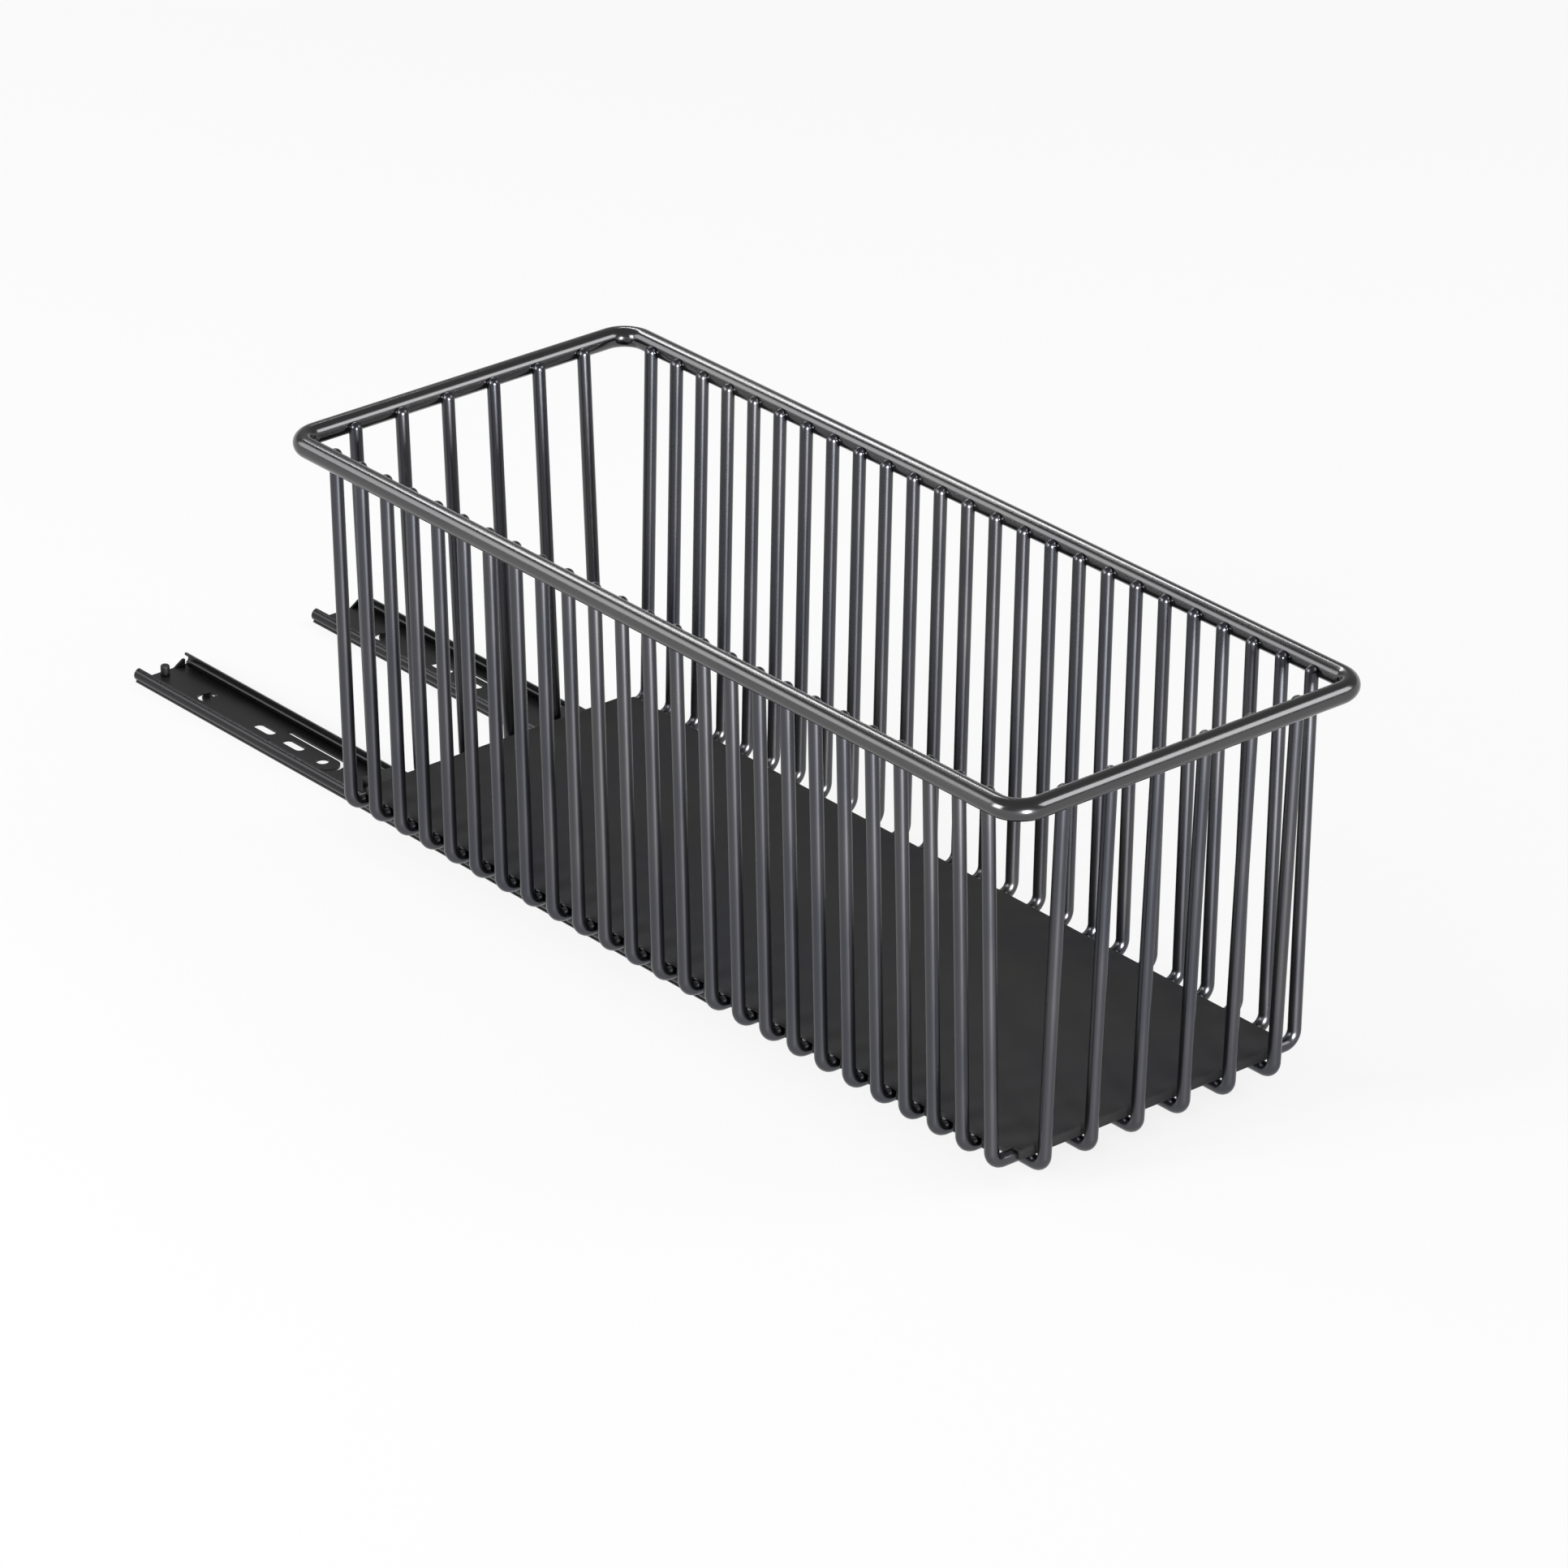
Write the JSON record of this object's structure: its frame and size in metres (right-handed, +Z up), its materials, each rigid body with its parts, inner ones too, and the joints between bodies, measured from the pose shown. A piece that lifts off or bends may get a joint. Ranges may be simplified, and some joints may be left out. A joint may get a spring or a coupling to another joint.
{
  "type": "pull-out cabinet basket",
  "caption": "Narrow black wire basket with a steel floor plate that pulls out of a kitchen cabinet on two floor-mounted ball-bearing slides.",
  "frame": {"origin": "centre of the rectangle of the four round screw holes, on the underside of the outer rails, which is the cabinet floor", "axes": "+Z up; -Y to the front of the cabinet, the way the basket pulls out; +X to the right seen from the front"},
  "size_m": [0.1654, 0.5445, 0.16],
  "materials": {
    "rim_steel": "satin black powder coat",
    "cross_wire_steel": "satin black powder coat",
    "long_wire_steel": "satin black powder coat",
    "plate_steel": "matte black powder coat",
    "outer_rail_steel": "black electrophoretic coat",
    "inner_rail_steel": "black electrophoretic coat",
    "cage_steel": "zinc-plated sheet",
    "ball_steel": "polished",
    "buffer_rubber": "matte moulded"
  },
  "bodies": {
    "cabinet_rails": {"left_outer_rail": "outer_rail_steel", "right_outer_rail": "outer_rail_steel", "left_rear_buffer": "buffer_rubber", "right_rear_buffer": "buffer_rubber"},
    "basket": {"rim_rod": "rim_steel", "cross_wire_01": "cross_wire_steel", "cross_wire_02": "cross_wire_steel", "cross_wire_03": "cross_wire_steel", "cross_wire_04": "cross_wire_steel", "cross_wire_05": "cross_wire_steel", "cross_wire_06": "cross_wire_steel", "cross_wire_07": "cross_wire_steel", "cross_wire_08": "cross_wire_steel", "cross_wire_09": "cross_wire_steel", "cross_wire_10": "cross_wire_steel", "cross_wire_11": "cross_wire_steel", "cross_wire_12": "cross_wire_steel", "cross_wire_13": "cross_wire_steel", "cross_wire_14": "cross_wire_steel", "cross_wire_15": "cross_wire_steel", "cross_wire_16": "cross_wire_steel", "cross_wire_17": "cross_wire_steel", "cross_wire_18": "cross_wire_steel", "cross_wire_19": "cross_wire_steel", "cross_wire_20": "cross_wire_steel", "cross_wire_21": "cross_wire_steel", "cross_wire_22": "cross_wire_steel", "cross_wire_23": "cross_wire_steel", "cross_wire_24": "cross_wire_steel", "cross_wire_25": "cross_wire_steel", "long_wire_1": "long_wire_steel", "long_wire_2": "long_wire_steel", "long_wire_3": "long_wire_steel", "long_wire_4": "long_wire_steel", "long_wire_5": "long_wire_steel", "long_wire_6": "long_wire_steel", "floor_plate": "plate_steel", "left_inner_rail": "inner_rail_steel", "right_inner_rail": "inner_rail_steel"},
    "left_cage": {"left_ball_cage": "cage_steel", "left_balls": "ball_steel"},
    "right_cage": {"right_ball_cage": "cage_steel", "right_balls": "ball_steel"}
  },
  "joints": [
    {"name": "basket_slide", "type": "slide", "parent": "cabinet_rails", "child": "basket", "axis": [0, -1, 0], "range_m": [-0.1345, 0.0355]},
    {"name": "left_cage_slide", "type": "slide", "parent": "cabinet_rails", "child": "left_cage", "axis": [0, -1, 0], "range_m": [-0.0673, 0.0178]},
    {"name": "right_cage_slide", "type": "slide", "parent": "cabinet_rails", "child": "right_cage", "axis": [0, -1, 0], "range_m": [-0.0673, 0.0178]}
  ],
  "couplings": [
    {"joint": "left_cage_slide", "follows": "basket_slide", "ratio": 0.5},
    {"joint": "right_cage_slide", "follows": "basket_slide", "ratio": 0.5}
  ]
}
